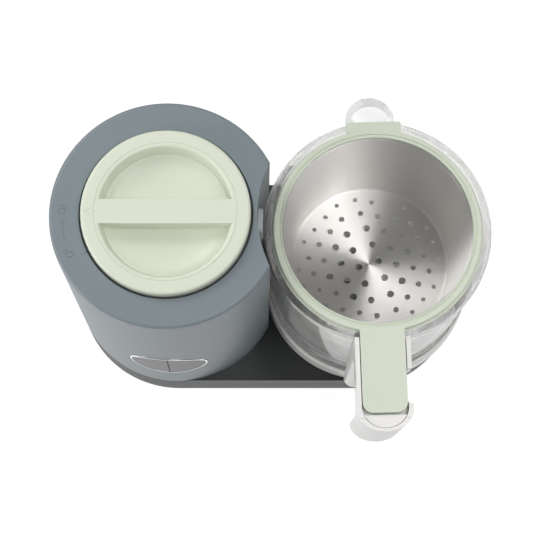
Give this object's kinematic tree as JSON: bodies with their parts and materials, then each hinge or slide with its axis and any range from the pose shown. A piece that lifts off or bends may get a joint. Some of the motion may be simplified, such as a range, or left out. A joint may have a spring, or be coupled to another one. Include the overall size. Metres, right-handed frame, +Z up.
{
  "type": "baby food maker",
  "caption": "Countertop steamer and blender: round tower with a twist-off tank cap beside a clear bowl with a spout, hook handle and lift-out perforated steel basket.",
  "frame": {"origin": "middle of the footprint box, on the surface that the feet stand on", "axes": "+Z up, -Y the front with the controls and the bowl handle, +X from the tower to the bowl"},
  "size_m": [0.2886, 0.2266, 0.2282],
  "materials": {
    "housing": "satin",
    "deck": "gloss",
    "cap": "satin",
    "ring": "satin",
    "handle": "satin",
    "steel": "brushed",
    "glass": "clear",
    "rubber": "matte",
    "silicone": "matte",
    "chrome": "polished",
    "button": "satin",
    "aluminium": "cast",
    "brass": "turned",
    "board": "satin",
    "inner": "matte",
    "zinc": "satin"
  },
  "bodies": {
    "machine": {"base_shell": "housing", "base_deck": "deck", "bottom_cover": "inner", "foot_1": "rubber", "foot_2": "rubber", "foot_3": "rubber", "foot_4": "rubber", "base_screw_1": "zinc", "base_screw_2": "zinc", "base_screw_3": "zinc", "base_screw_4": "zinc", "cord_gland": "rubber", "tower_shell": "housing", "button_bezel": "chrome", "control_board": "board", "switch_left": "inner", "switch_right": "inner", "water_tank": "steel", "tank_gasket": "silicone", "tank_neck": "inner", "cap_seal": "rubber", "heater_plate": "aluminium", "heating_element": "steel", "thermostat": "brass", "steam_pipe": "silicone", "steam_outlet": "silicone", "motor_bracket": "zinc", "motor_can": "zinc", "drive_belt": "rubber", "lower_bush": "brass", "upper_bush": "brass", "bowl_seat": "deck"},
    "tank_cap": {"cap_top": "cap", "cap_plug": "handle", "cap_gasket": "silicone"},
    "left_button": {"button_left": "button"},
    "right_button": {"button_right": "button"},
    "motor_rotor": {"motor_shaft": "steel", "motor_pulley": "aluminium"},
    "drive_line": {"drive_pulley": "inner", "drive_spindle": "steel", "drive_coupler": "inner"},
    "blade_set": {"blade_socket": "inner", "blade_lower": "steel", "blade_upper": "steel", "blade_nut": "steel"},
    "bowl": {"glass_bowl": "glass", "bowl_collar": "handle", "bowl_seal": "silicone", "handle_shell": "handle", "handle_cover": "handle", "blade_hub": "steel"},
    "basket": {"basket_cup": "steel", "basket_rim": "ring"}
  },
  "joints": [
    {"name": "cap_turn", "type": "hinge", "parent": "machine", "child": "tank_cap", "pos_m": [-0.06934, 0.02102, 0.215], "axis": [0, 0, 1], "range_deg": [0, 27]},
    {"name": "left_press", "type": "slide", "parent": "machine", "child": "left_button", "axis": [0.0523, 0.9986, 0], "range_m": [0, 0.0014], "stiffness_N_per_m": 600},
    {"name": "right_press", "type": "slide", "parent": "machine", "child": "right_button", "axis": [0.0523, 0.9986, 0], "range_m": [0, 0.0014], "stiffness_N_per_m": 600},
    {"name": "bowl_turn", "type": "hinge", "parent": "machine", "child": "bowl", "pos_m": [0.06866, 0.02102, 0.045], "axis": [0, 0, 1], "range_deg": [0, 30]},
    {"name": "basket_lift", "type": "slide", "parent": "bowl", "child": "basket", "axis": [0, 0, 1], "range_m": [0, 0.11]},
    {"name": "drive_spin", "type": "hinge", "parent": "machine", "child": "drive_line", "pos_m": [0.06866, 0.02102, 0.025], "axis": [0, 0, 1], "continuous": true},
    {"name": "motor_spin", "type": "hinge", "parent": "machine", "child": "motor_rotor", "pos_m": [-0.08434, 0.02102, 0.03], "axis": [0, 0, 1], "continuous": true},
    {"name": "blade_spin", "type": "hinge", "parent": "machine", "child": "blade_set", "pos_m": [0.06866, 0.02102, 0.06], "axis": [0, 0, 1], "continuous": true}
  ],
  "couplings": [
    {"joint": "motor_spin", "follows": "drive_spin", "ratio": 4},
    {"joint": "blade_spin", "follows": "drive_spin", "ratio": 1}
  ]
}
